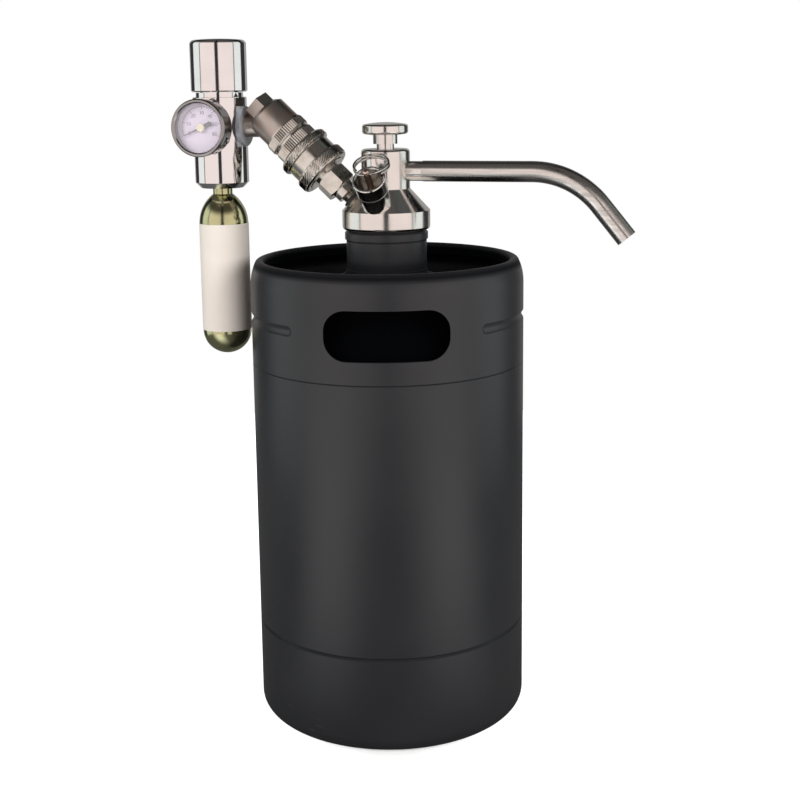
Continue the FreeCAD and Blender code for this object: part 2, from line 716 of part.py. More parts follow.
def make_cap():
    bore = spigot_radius + thread_gap
    guide = stem_radius + running
    shell = turned("cap_shell", [
        (bore, cap_bottom), (cap_radius - cap_edge, cap_bottom, cap_edge),
        (cap_radius, cap_bottom + cap_edge), (cap_radius, cone_bottom),
        (column_radius, cone_top), (column_radius, column_top - column_edge, column_edge),
        (column_radius - column_edge, column_top), (guide, column_top),
        (guide, valve_seat + lip_height + annulus_height),
        (annulus_radius, valve_seat + lip_height + annulus_height),
        (annulus_radius, valve_seat + lip_height), (lip_radius, valve_seat + lip_height),
        (lip_radius, valve_seat), (chamber_radius, valve_seat),
        (chamber_radius, cap_ceiling), (bore, cap_ceiling)])
    spout_boss = rod("spout_boss", spout_boss_radius, column_radius - 2.0, spout_boss_reach,
                     spout_port, tap)
    relief_boss = rod("relief_boss", relief_boss_radius, -1.4, relief_boss_height,
                      relief_port, tap)
    solid = fused("cap_solid", [shell, spout_boss, relief_boss])
    tools = [
        rod("spout_way", spout_radius - spout_wall - spout_wall, 3.0, spout_boss_reach + 1.0,
            spout_port, tap),
        rod("spout_socket", spigot_inset + loose, spout_boss_reach - spigot_reach - 0.2,
            spout_boss_reach + 1.0, spout_port, tap),
        rod("gas_way", port_bore, -10.0, 0.0, gas_port, tap),
        rod("gas_thread", plug_stub + loose, -plug_depth, 3.0, gas_port, tap),
        rod("gas_spotface", plug_collar + 0.2, -0.8, 3.0, gas_port, tap),
        rod("relief_way", port_bore, -10.0, 0.0, relief_port, tap),
        rod("relief_socket", relief_thread + loose, relief_boss_height - relief_thread_reach,
            relief_boss_height + 1.0, relief_port, tap),
        rod("relief_feed", port_bore, 0.0, relief_boss_height, relief_port, tap)]
    keep("tap_cap", cut("tap_cap", solid, tools), tap)

    keep("cap_gasket", ring("cap_gasket", spigot_radius - gasket_width, spigot_radius,
                            spigot_top, cap_ceiling), keg)

    bushing_low = cap_ceiling - bushing_step
    bushing_top = bushing_low + bushing_height
    bushing_outer = chamber_radius - loose
    dip_seat = bushing_low + bushing_height * 0.65
    bushing = turned("bushing", [
        (dip_radius + loose, bushing_low), (bushing_outer, bushing_low),
        (bushing_outer, bushing_top), (dip_radius - dip_wall, bushing_top),
        (dip_radius - dip_wall, dip_seat), (dip_radius + loose, dip_seat)])
    keep("dip_tube_bushing", bushing, tap)
    dip_low = tank_floor + tank_wall + dip_clearance
    keep("dip_tube", ring("dip_tube", dip_radius - dip_wall, dip_radius, dip_low, dip_seat), tap)

    seal_low = valve_seat - seal_thick
    poppet_low = seal_low - poppet_thick
    guide_low = valve_seat + lip_height + annulus_height - 1.0
    shoulder = column_top + stem_bare
    groove_low = guide_low + 2.6
    groove_in = stem_radius - groove_depth
    stem = turned("stem", [
        (0.0, poppet_low), (poppet_radius, poppet_low), (poppet_radius, seal_low),
        (stem_waist, seal_low), (stem_waist, guide_low), (stem_radius, guide_low + 0.9),
        (stem_radius, groove_low), (groove_in, groove_low),
        (groove_in, groove_low + groove_width), (stem_radius, groove_low + groove_width),
        (stem_radius, shoulder), (screw_radius, shoulder),
        (screw_radius, shoulder + screw_depth - 0.2), (0.0, shoulder + screw_depth - 0.2)])
    keep("valve_stem", stem, tap)
    cord = groove_depth / 2
    keep("stem_seal", torus("stem_seal", stem_radius - cord + 0.02, cord - 0.01,
                            groove_low + groove_width / 2), tap)
    keep("valve_seal", ring("valve_seal", stem_waist + loose, seal_radius, seal_low,
                            valve_seat), tap)
    keep("button_spring", wound("button_spring", valve_coil, valve_wire, bushing_top + 0.02,
                                poppet_low - 0.02, 4), tap)
    head = shoulder + button_neck_height
    top = head + button_height
    button = turned("button", [
        (0.0, shoulder + screw_depth), (screw_radius + loose, shoulder + screw_depth),
        (screw_radius + loose, shoulder), (button_neck, shoulder),
        (button_neck, head - 0.3), (button_radius - button_edge, head + 0.2, button_edge),
        (button_radius, head + 0.2 + button_edge),
        (button_radius, top - button_crown - button_edge, button_edge),
        (button_radius - button_edge, top - button_crown,
         crown(button_radius - button_edge, button_crown)), (0.0, top)])
    keep("push_button", button, tap)

    straight_end = spout_boss_reach + spout_straight
    turn = math.radians(float(spout_angle))
    away = Vector(math.cos(turn), 0, -math.sin(turn))
    start = Vector(float(spout_boss_reach), 0, float(spout_height))
    bend_start = Vector(float(straight_end), 0, float(spout_height))
    centre = bend_start - Vector(0, 0, float(spout_bend))
    half = turn / 2
    bend_middle = centre + Vector(math.sin(half), 0, math.cos(half)) * float(spout_bend)
    bend_end = centre + Vector(math.sin(turn), 0, math.cos(turn)) * float(spout_bend)
    end = bend_end + away * float(spout_tail)
    path = Part.Wire([
        Part.LineSegment(start, bend_start).toShape(),
        Part.Arc(bend_start, bend_middle, bend_end).toShape(),
        Part.LineSegment(bend_end, end).toShape()])
    along = Vector(1, 0, 0)
    outer_wire = Part.Wire(Part.Circle(start, along, float(spout_radius)).toShape())
    inner_radius = float(spout_radius - spout_wall)
    inner_wire = Part.Wire(Part.Circle(start, along, inner_radius).toShape())
    outer_tube = path.makePipeShell([outer_wire], True, False)
    inner_tube = path.makePipeShell([inner_wire], True, False)
    spigot_start = start - along * float(spigot_reach)
    spigot = Part.makeCylinder(float(spigot_inset), float(spigot_reach) + 1.2, spigot_start, along)
    spigot_way = Part.makeCylinder(inner_radius - float(spout_wall) - 0.3,
                                   float(spigot_reach) + 3.0, spigot_start, along)
    plug = Part.makeCylinder(inner_radius + 0.2, 1.2, start, along)
    spout = document.addObject("Part::Feature", "spout")
    spout.Shape = outer_tube.cut(inner_tube).fuse([spigot, plug]).cut(spigot_way).removeSplitter()
    keep("spout_tube", spout, tap)


# The relief valve: a cup screwed into its boss, with a sprung pull pin and a split ring


def make_relief_valve():
    base = relief_boss_height
    top = base + relief_height
    floor = top - relief_cup
    thread_low = base - relief_thread_reach + 0.1
    cup_inner = relief_body_radius - 1.0
    body = turned("relief_body", [
        (1.2, thread_low), (relief_thread, thread_low), (relief_thread, base),
        (relief_body_radius, base), (relief_body_radius, base + 0.4),
        (relief_body_radius + relief_flare, top - 0.4), (relief_body_radius + relief_flare - 0.3,
                                                        top),
        (cup_inner + 0.4, top), (cup_inner, top - 0.6), (cup_inner, floor),
        (relief_pin + running, floor), (relief_pin + running, floor - 1.2),
        (3.6, floor - 1.2), (3.6, thread_low + 1.2), (1.2, thread_low + 1.2)])
    keep("relief_body", body, relief_port)

    seat = thread_low + 1.2
    flange = seat + 1.0 + 1.4
    pin = turned("relief_pin_blank", [
        (0.0, seat + 1.0), (3.2, seat + 1.0), (3.2, flange), (relief_pin, flange),
        (relief_pin, relief_eye + relief_tip - 0.5), (relief_pin - 0.5, relief_eye + relief_tip),
        (0.0, relief_eye + relief_tip)])
    eye = rod("relief_eye", relief_eye_radius, -3.0, 3.0)
    eye.Placement = Placement(Vector(-3.0, 0, float(relief_eye)), Rotation(Vector(0, 1, 0), 90))
    keep("relief_pull_pin", cut("relief_pull_pin", pin, [eye]), relief_port)
    keep("relief_seal", ring("relief_seal", 0.6, 2.8, seat, seat + 1.0), relief_port)
    keep("relief_spring", wound("relief_spring", 2.4, relief_wire, flange + 0.02,
                                floor - 1.22, 2), relief_port)
    coil = wound("split_ring", ring_middle, ring_wire, 0.0, ring_wire * 2 + ring_pitch, 1.75,
                 0.75)
    half = float(ring_wire) + float(ring_pitch) / 2
    lean = Rotation(Vector(1, 0, 0), -float(ring_tilt))
    seat_ring = Placement(Vector(0, float(ring_middle), -half), Rotation(Vector(0, 0, 1), -45))
    keep("split_ring", coil, relief_port * Placement(Vector(0, 0, float(relief_eye)), lean)
         * seat_ring)


# The gas plug that stays on the cap, and the quick coupler that snaps over it


def make_coupler():
    thread_top = plug_thread
    collar_top = plug_hex_low
    hex_top = plug_hex_top
    nose_end = nose_stop - nose_end_gap
    ball_at = coupler_start + ball_place
    dip = 1.1
    stub_edge = plug_stub + 0.4
    blank = turned("plug_blank", [
        (nose_bore, -plug_depth), (plug_stub, -plug_depth), (plug_stub, 0.8),
        (stub_edge, 1.0), (plug_stub, 1.4), (stub_edge, 1.8), (plug_stub, 2.2),
        (stub_edge, 2.6), (plug_stub, thread_top), (plug_collar, thread_top),
        (plug_collar, collar_top), (nose_radius, collar_top), (nose_radius, ball_at - dip),
        (nose_radius - ball_depth, ball_at - dip * 0.6),
        (nose_radius - ball_depth, ball_at + dip * 0.6), (nose_radius, ball_at + dip),
        (nose_radius, nose_end - 0.6), (nose_radius - 0.6, nose_end), (nose_bore, nose_end)])
    hexagon = nut("plug_hexagon", plug_flats, collar_top, hex_top)
    rounder = turned("plug_rounder", [
        (0.0, collar_top), (plug_flats / 2, collar_top), (plug_flats / 2 + 1.1, collar_top + 0.6),
        (plug_flats / 2 + 1.1, hex_top - 0.6), (plug_flats / 2, hex_top), (0.0, hex_top)])
    trimmed = document.addObject("Part::Common", "plug_trimmed")
    trimmed.Base = hexagon
    trimmed.Tool = rounder
    way = rod("plug_way", nose_bore, collar_top - 1.0, hex_top + 1.0)
    keep("gas_plug", cut("gas_plug", fused("plug_solid", [blank, trimmed]), [way]), gas_port)
    keep("plug_washer", ring("plug_washer", plug_stub + loose, plug_collar - 0.3, -0.8, 0.6),
         gas_port)

    bore = nose_radius + running
    clip_low = coupler_start + 0.4
    clip_high = clip_low + ring_groove
    stop_low = stop_high - ring_groove
    groove_in = coupler_radius - ring_groove_depth
    seal_low = nose_stop - 4.5
    seal_high = seal_low + 2.0
    spigot_bore = valve_chamber
    chamber_low = nose_stop + 3.0
    blank = turned("coupler_blank", [
        (bore, coupler_start), (coupler_radius, coupler_start), (coupler_radius, clip_low),
        (groove_in, clip_low), (groove_in, clip_high), (coupler_radius, clip_high),
        (coupler_radius, stop_low), (groove_in, stop_low), (groove_in, stop_high),
        (coupler_radius, stop_high), (coupler_radius, rear_low - 0.1),
        (rear_radius, rear_low), (rear_radius, rear_high),
        (rear_radius - 0.85, rear_high), (rear_radius - 0.85, tail_low),
        (collar_ring_bore - loose, tail_low), (collar_ring_bore - loose, elbow_low),
        (spigot_bore, elbow_low), (spigot_bore, chamber_low), (gas_bore + 0.4, chamber_low),
        (gas_bore + 0.4, nose_stop), (bore, nose_stop), (bore, seal_high),
        (bore + 1.7, seal_high), (bore + 1.7, seal_low), (bore, seal_low)])
    holes = []
    balls = []
    ball_ring = nose_radius - ball_depth + 0.05 + ball_radius
    for index in range(6):
        around = Placement(Vector(0, 0, ball_at.value), Rotation(Vector(0, 0, 1), 60 * index + 30))
        hole = rod("ball_hole_" + str(index), ball_radius + loose, 0.0, coupler_radius + 2.0)
        hole.Placement = around * Placement(Vector(), Rotation(Vector(0, 1, 0), 90))
        holes.append(hole)
        ball = document.addObject("Part::Sphere", "ball_" + str(index))
        ball.setExpression("Radius", ball_radius.formula)
        ball.Placement = around * Placement(Vector(ball_ring.value, 0, 0), Rotation())
        balls.append(ball)
    keep("coupler_body", cut("coupler_body", blank, holes), gas_port)
    group = document.addObject("Part::Compound", "locking_balls")
    group.Links = balls
    keep("locking_balls", group, gas_port)
    keep("coupler_seal", torus("coupler_seal", bore + 0.86, 0.83, (seal_low + seal_high) / 2),
         gas_port)

    clip_outer = coupler_radius + clip_reach
    keep("sleeve_clip", ring("sleeve_clip", groove_in + loose, clip_outer, clip_low + loose,
                             clip_high - loose), gas_port)
    keep("spring_stop", ring("spring_stop", groove_in + loose, sleeve_chamber - 0.2,
                             stop_low + loose, stop_high - loose), gas_port)
    land = coupler_radius + sleeve_slack
    front = sleeve_front
    back = sleeve_back
    chamber = back - sleeve_chamber_length
    band_end = front + 0.8 + front_band
    rear_start = back - 0.7 - rear_band
    lip = clip_outer + 0.12
    sleeve = turned("sleeve", [
        (lip, front), (sleeve_waist, front, 1.0), (sleeve_radius, front + 0.8),
        (sleeve_radius, band_end), (sleeve_waist, band_end + 0.6),
        (sleeve_waist, rear_start - 0.6), (sleeve_radius, rear_start),
        (sleeve_radius, back - 0.9), (sleeve_waist - 0.1, back), (sleeve_chamber, back),
        (sleeve_chamber, chamber), (land, chamber), (land, clip_high), (lip, clip_high)])
    keep("coupler_sleeve", sleeve, gas_port)
    coil = (land + sleeve_chamber) / 2
    keep("sleeve_spring", wound("sleeve_spring", coil, sleeve_wire, chamber + 0.02, stop_low,
                                3.5), gas_port)

    keep("coupler_ring", ring("coupler_ring", collar_ring_bore, collar_ring_radius,
                              tail_low + 0.1, elbow_low - 0.1), gas_port)
    check_low = chamber_low + 0.1
    check_high = check_low + check_thick
    check = turned("check", [
        (0.0, nose_end + 0.1), (nose_bore + 0.3, nose_end + 0.1), (nose_bore + 0.3, check_low),
        (check_radius, check_low), (check_radius, check_high), (0.0, check_high)])
    keep("check_valve", check, gas_port)
    spigot_low = elbow_low - elbow_spigot
    keep("check_spring", wound("check_spring", 3.4, check_wire, check_high + 0.02,
                               spigot_low - 0.02, 4), gas_port)

    elbow_high = elbow_low + elbow_length
    blank = turned("elbow_blank", [
        (gas_bore, spigot_low), (spigot_bore - loose, spigot_low),
        (spigot_bore - loose, elbow_low), (elbow_radius, elbow_low),
        (elbow_radius, elbow_high - elbow_bevel), (elbow_radius - elbow_bevel, elbow_high),
        (0.0, elbow_high), (0.0, elbow_axis + 2.0), (gas_bore, elbow_axis + 2.0)])
    hexagon = nut("elbow_hexagon", elbow_flats, elbow_high - 1.0, elbow_high + elbow_flats_height)
    tools = [
        rod("elbow_socket", nipple_radius + loose, nipple_inner_end - 0.1,
            elbow_radius * 2, elbow, gas_port),
        rod("elbow_way", gas_bore, 0.0, nipple_inner_end + 1.0, elbow, gas_port)]
    solid = fused("elbow_solid", [blank, hexagon])
    keep("elbow_body", cut("elbow_body", solid, tools), gas_port)
    nipple_far = outlet_reach - boss_face + nipple_thread
    keep("outlet_nipple", ring("outlet_nipple", gas_bore, nipple_radius, nipple_inner_end,
                               nipple_far), elbow)


# The regulator: body, piston and valve, bonnet, range spring and knob


def make_regulator():
    low = -body_below
    high = body_above
    socket_top = low + socket_depth
    blank = turned("regulator_blank", [
        (socket_radius, low), (body_radius - body_bevel, low), (body_radius, low + body_bevel),
        (body_radius, high - 0.3), (body_radius - 0.3, high), (bonnet_thread + loose, high),
        (bonnet_thread + loose, bonnet_bottom), (piston_radius + running, bonnet_bottom),
        (piston_radius + running, -piston_floor), (seat_radius + loose, -piston_floor),
        (seat_radius + loose, socket_top), (socket_radius, socket_top)])
    boss = rod("outlet_boss", boss_radius, (bonnet_thread + body_radius) / 2, boss_face, outlet,
               regulator)
    tools = [
        rod("outlet_socket", nipple_radius + loose, boss_face - nipple_thread - 0.1,
            boss_face + 1.0, outlet, regulator),
        rod("outlet_way", gas_bore, 3.0, boss_face, outlet, regulator),
        rod("gauge_socket", gauge_stem_radius + loose, body_radius - 4.2, body_radius + 1.0,
            gauge, regulator),
        rod("gauge_way", port_bore, 3.0, body_radius, gauge, regulator)]
    solid = fused("regulator_solid", [blank, boss])
    keep("regulator_body", cut("regulator_body", solid, tools), regulator)

    washer_high = socket_top
    pin_high = socket_top + pin_flange + 0.1
    pin_low = socket_top + 0.1
    pin = turned("pin", [
        (0.35, pin_low - pin_length), (pin_radius * 0.6, pin_low - pin_length),
        (pin_radius, pin_low - pin_length + 1.0), (pin_radius, pin_low), (seat_radius, pin_low),
        (seat_radius, pin_high), (0.35, pin_high)])
    keep("piercing_pin", pin, regulator)
    keep("cartridge_seal", ring("cartridge_seal", pin_radius + 0.1, cartridge_thread,
                                washer_high - washer_thick, washer_high), regulator)

    seat_top = -seat_high
    seat_low = seat_top - seat_thick
    stem_low = seat_low - 0.1
    valve_low = stem_low - 2.2
    keep("regulator_seat", ring("regulator_seat", piston_stem + 0.5, seat_radius, seat_low,
                                seat_top), regulator)
    seal_low = piston_low + 0.9
    piston_top = piston_low + piston_thick
    piston = turned("piston", [
        (0.0, stem_low), (piston_stem, stem_low), (piston_stem, piston_low),
        (piston_radius, piston_low), (piston_radius, seal_low), (piston_radius - 1.0, seal_low),
        (piston_radius - 1.0, seal_low + 1.0), (piston_radius, seal_low + 1.0),
        (piston_radius, piston_top), (0.0, piston_top)])
    keep("regulator_piston", piston, regulator)
    keep("piston_seal", torus("piston_seal", piston_radius - 0.5, 0.48, seal_low + 0.5),
         regulator)
    poppet = turned("poppet", [
        (0.0, valve_low), (needle_valve, valve_low), (needle_valve, stem_low - 0.4),
        (needle_valve - 0.4, stem_low), (0.0, stem_low)])
    keep("regulator_poppet", poppet, regulator)
    keep("poppet_spring", wound("poppet_spring", 1.7, 0.2, pin_high + 0.02, valve_low - 0.02, 2.5),
         regulator)

    flange_top = high + bonnet_flange_height
    roof = bonnet_top - bonnet_roof
    bonnet = turned("bonnet", [
        (bonnet_bore, bonnet_bottom), (bonnet_thread, bonnet_bottom), (bonnet_thread, high),
        (bonnet_flange, high), (bonnet_flange, flange_top), (bonnet_radius, flange_top),
        (bonnet_radius, bonnet_top), (screw_shank + loose, bonnet_top),
        (screw_shank + loose, roof), (bonnet_bore, roof)])
    keep("bonnet", bonnet, regulator)
    keep("spring_plate", ring("spring_plate", screw_shank + loose, bonnet_bore - 0.15, plate_low,
                              plate_low + plate_thick), regulator)
    keep("range_spring", wound("range_spring", range_coil, range_wire, piston_top + 0.02,
                               plate_low - 0.02, 6), regulator)
    boss_low = bonnet_top + 0.5
    screw_top = boss_low + 5.0
    screw = turned("screw", [
        (0.0, screw_low), (screw_shank - 0.4, screw_low), (screw_shank, screw_low + 0.4),
        (screw_shank, roof - 1.6), (screw_collar, roof - 1.6), (screw_collar, roof - 0.1),
        (screw_shank, roof - 0.1), (screw_shank, screw_top), (0.0, screw_top)])
    keep("adjusting_screw", screw, regulator)
    knob_low = flange_top + knob_gap
    knob = turned("knob", [
        (0.0, screw_top), (screw_shank + loose, screw_top), (screw_shank + loose, boss_low),
        (knob_cavity, boss_low), (knob_cavity, knob_low), (knob_radius - knob_bevel, knob_low),
        (knob_radius, knob_low + knob_bevel),
        (knob_radius, knob_top - knob_crown - knob_edge, knob_edge),
        (knob_radius - knob_edge, knob_top - knob_crown,
         crown(knob_radius - knob_edge, knob_crown)), (0.0, knob_top)])
    keep("pressure_knob", knob, regulator)


# The gauge: case, bezel, window, dial, needle and the curved tube that moves it


def make_gauge():
    inner = gauge_radius - gauge_wall
    stem_end = gauge_back + gauge_wall
    stem = turned("gauge_stem", [
        (0.8, body_radius - 4.0), (gauge_stem_radius, body_radius - 4.0),
        (gauge_stem_radius, body_radius + 0.5), (gauge_stem_radius + 0.8, body_radius + 0.5),
        (gauge_stem_radius + 0.8, gauge_back), (2.0, gauge_back), (2.0, stem_end + 0.6),
        (0.8, stem_end + 0.6)])
    keep("gauge_stem", stem, gauge)
    bezel_back = gauge_front - bezel_length
    rim = gauge_front - bezel_lip - lens_thick - 0.1
    case = turned("case", [
        (2.0 + loose, gauge_back), (gauge_radius - 1.6, gauge_back, 1.6),
        (gauge_radius, gauge_back + 1.6), (gauge_radius, bezel_back),
        (gauge_radius - 0.3, bezel_back), (gauge_radius - 0.3, rim), (inner, rim),
        (inner, stem_end), (2.0 + loose, stem_end)])
    screw_hole = rod("case_screw_hole", 1.0 + loose, 0.0, 3.0)
    turn = Placement(Vector(0, 0, float(gauge_back) + 4.6), Rotation(Vector(0, 0, 1), -28))
    side = turn * Placement(Vector(float(inner) - 0.6, 0, 0), Rotation(Vector(0, 1, 0), 90))
    screw_hole.Placement = side
    keep("gauge_case", cut("gauge_case", case, [screw_hole]), gauge)
    head = turned("case_screw", [
        (0.0, 0.0), (1.0, 0.0), (1.0, gauge_wall + 0.6), (1.5, gauge_wall + 0.75),
        (1.5, gauge_wall + 1.3), (1.0, gauge_wall + 1.7), (0.0, gauge_wall + 1.7)])
    keep("gauge_case_screw", head, gauge * side)
    bezel_outer = bezel_radius
    bezel = turned("bezel", [
        (gauge_radius - 0.3 + loose, bezel_back), (bezel_outer, bezel_back),
        (bezel_outer, gauge_front - 0.8, 0.8), (bezel_outer - 0.8, gauge_front),
        (bezel_inner + 0.5, gauge_front), (bezel_inner, gauge_front - 0.5),
        (bezel_inner, gauge_front - bezel_lip), (gauge_radius - 0.3 + loose,
                                                 gauge_front - bezel_lip)])
    keep("gauge_bezel", bezel, gauge)
    lens_high = gauge_front - bezel_lip - 0.05
    lens = turned("lens", [
        (0.0, lens_high - lens_thick), (gauge_radius - 0.4, lens_high - lens_thick),
        (gauge_radius - 0.4, lens_high), (0.0, lens_high)])
    keep("gauge_window", lens, gauge)
    dial_high = gauge_front - dial_depth
    dial_low = dial_high - dial_thick
    keep("gauge_dial", ring("gauge_dial", arbor_radius + 0.3, inner - loose, dial_low, dial_high),
         gauge)
    block_top = dial_low - loose
    keep("gauge_movement", ring("gauge_movement", arbor_radius + 0.05, movement_radius, stem_end + 0.7,
                                block_top), gauge)
    tube_height = stem_end + bourdon_tube + 0.2
    tube = torus("bourdon", bourdon_middle, bourdon_tube, tube_height,
                 float(bourdon_sweep))
    tube.Placement = Placement(Vector(0, 0, tube_height.value), Rotation(Vector(0, 0, 1), 120))
    bridge = document.addObject("Part::Box", "bourdon_foot")
    bridge.setExpression("Length", (bourdon_middle - 1.4).formula)
    bridge.Width = 1.6
    bridge.Height = 1.6
    bridge.Placement = Placement(
        Vector(0, 0, tube_height.value), Rotation(Vector(0, 0, 1), 125)) * Placement(
        Vector(1.4, -0.8, -0.8), Rotation())
    foot_clear = rod("bourdon_foot_clear", movement_radius + loose, stem_end - 2.0, dial_low)
    keep("bourdon_tube", cut("bourdon_tube", fused("bourdon_solid", [tube, bridge]),
                             [foot_clear]), gauge)

    needle_low = dial_high + 0.9
    needle_high = needle_low + needle_thick
    half = needle_width / 2
    tail = needle_tail_width / 2
    pointer = pressed("pointer", [
        (-needle_tail, -tail, -(needle_tail_width * 0.55)), (-needle_tail, tail),
        (-needle_tail * 0.55, tail),
        (-needle_tail * 0.4, half), (0.0, half), (needle_length, 0.08), (needle_length, -0.08),
        (0.0, -half), (-needle_tail * 0.4, -half), (-needle_tail * 0.55, -tail)],
        needle_low, needle_thick)
    hole = rod("pointer_hole", arbor_radius, needle_low - 1.0, needle_high + 1.0)
    boss = rod("pointer_boss", hub_radius - 0.5, needle_low, needle_high)
    zero = gauge * Placement(Vector(), Rotation(Vector(0, 0, 1), float(needle_zero)))
    keep("gauge_needle", cut("gauge_needle", fused("needle_blank", [pointer, boss]), [hole]), zero)
    hub_top = needle_high + 0.9
    hub = turned("hub", [
        (0.0, needle_high), (hub_radius, needle_high), (hub_radius, hub_top - 0.4, 0.4),
        (hub_radius - 0.4, hub_top), (0.0, hub_top)])
    keep("needle_hub", hub, gauge)
    arbor = turned("arbor", [
        (0.0, stem_end + 0.9), (arbor_radius, stem_end + 0.9), (arbor_radius, needle_high),
        (0.0, needle_high)])
    keep("needle_arbor", arbor, gauge)


# The cartridge that screws into the regulator from below, with its paper label


def make_cartridge():
    top = -body_below + socket_depth - washer_thick - 0.05
    bottom = top - cartridge_length
    thread_low = top - cartridge_thread_length
    neck_root = thread_low - 6.0
    shoulder_low = neck_root - cartridge_shoulder
    wall = cartridge_wall
    base = bottom + cartridge_base
    shell = turned("cartridge", [
        (1.0, top), (cartridge_thread - 0.5, top), (cartridge_thread, top - 0.5),
        (cartridge_thread, thread_low), (cartridge_neck, thread_low - 0.3),
        (cartridge_neck, neck_root, -cartridge_dome), (cartridge_radius, shoulder_low),
        (cartridge_radius, base, -crown(cartridge_radius, cartridge_base)), (0.0, bottom),
        (0.0, bottom + wall),
        (cartridge_radius - wall, base), (cartridge_radius - wall, shoulder_low),
        (cartridge_neck - wall, neck_root), (1.0, neck_root + 2.0)])
    keep("gas_cartridge", shell, regulator)
    paper = cartridge_radius + 0.02
    keep("cartridge_label", ring("cartridge_label", paper, paper + label_thick,
                                 bottom + label_bottom, shoulder_low), regulator)


make_keg()
make_cap()
make_relief_valve()
make_coupler()
make_regulator()
make_gauge()
make_cartridge()
document.recompute()

for item in document.Objects:
    if any(word in ("Invalid", "Error") for word in item.State):
        raise RuntimeError("not built: " + item.Name + " " + str(item.State))

for node, piece in pieces.items():
    shape = piece.Shape
    if shape.isNull() or not shape.isValid() or not shape.Solids:
        raise RuntimeError("not a sound solid: " + node)

os.makedirs("parts", exist_ok=True)
for node, piece in pieces.items():
    piece.Shape.exportStep("parts/" + node + ".step")
    box = piece.Shape.BoundBox
    corners = (box.XMin, box.YMin, box.ZMin, box.XMax, box.YMax, box.ZMax)
    print(node, len(piece.Shape.Solids), [round(value, 2) for value in corners])
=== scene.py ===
"""A mini keg with a screw-on tap, a quick coupler and a cartridge gas regulator.

Metres, in the frame of the solids: +Z up, the keg's axis on Z, its front handle towards -Y.
The tap's plane is turned 15.5 degrees about Z. Each section dresses one piece or one set of
pieces of the same make, in the order in which the object is put together.
"""

import bpy
import math
from mathutils import Euler, Matrix, Vector


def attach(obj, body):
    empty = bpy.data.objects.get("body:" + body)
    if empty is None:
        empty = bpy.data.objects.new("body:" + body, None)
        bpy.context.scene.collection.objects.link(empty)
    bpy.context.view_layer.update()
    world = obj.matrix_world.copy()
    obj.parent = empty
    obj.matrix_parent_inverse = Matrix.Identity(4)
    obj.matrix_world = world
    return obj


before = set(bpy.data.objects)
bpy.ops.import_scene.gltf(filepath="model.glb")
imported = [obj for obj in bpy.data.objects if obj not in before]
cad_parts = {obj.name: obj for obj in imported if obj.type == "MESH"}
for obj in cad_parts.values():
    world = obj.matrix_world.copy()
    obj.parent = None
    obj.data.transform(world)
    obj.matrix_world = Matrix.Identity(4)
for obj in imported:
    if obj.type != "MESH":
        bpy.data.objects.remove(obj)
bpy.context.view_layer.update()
bpy.ops.object.select_all(action="DESELECT")


# Shader sockets, materials, and two ways to make a piece


class Value:
    """A shader socket that can be used in sums."""

    def __init__(self, finish, socket):
        self.finish = finish
        self.socket = socket

    def sum(self, work, other=0.0, swapped=False):
        terms = (other, self) if swapped else (self, other)
        return self.finish.node("ShaderNodeMath", dict(enumerate(terms)), operation=work)

    def __add__(self, other):
        return self.sum("ADD", other)

    def __radd__(self, other):
        return self.sum("ADD", other)

    def __sub__(self, other):
        return self.sum("SUBTRACT", other)

    def __rsub__(self, other):
        return self.sum("SUBTRACT", other, True)

    def __mul__(self, other):
        return self.sum("MULTIPLY", other)

    def __rmul__(self, other):
        return self.sum("MULTIPLY", other)

    def part(self, name):
        """One output of the node that this socket is on, such as Y."""
        return Value(self.finish, self.socket.node.outputs[name])

    def ramp(self, low, high, start=0.0, end=1.0):
        """Start below low, end above high, and a straight run between them."""
        return self.finish.node("ShaderNodeMapRange", {
            "Value": self, "From Min": low, "From Max": high, "To Min": start, "To Max": end})


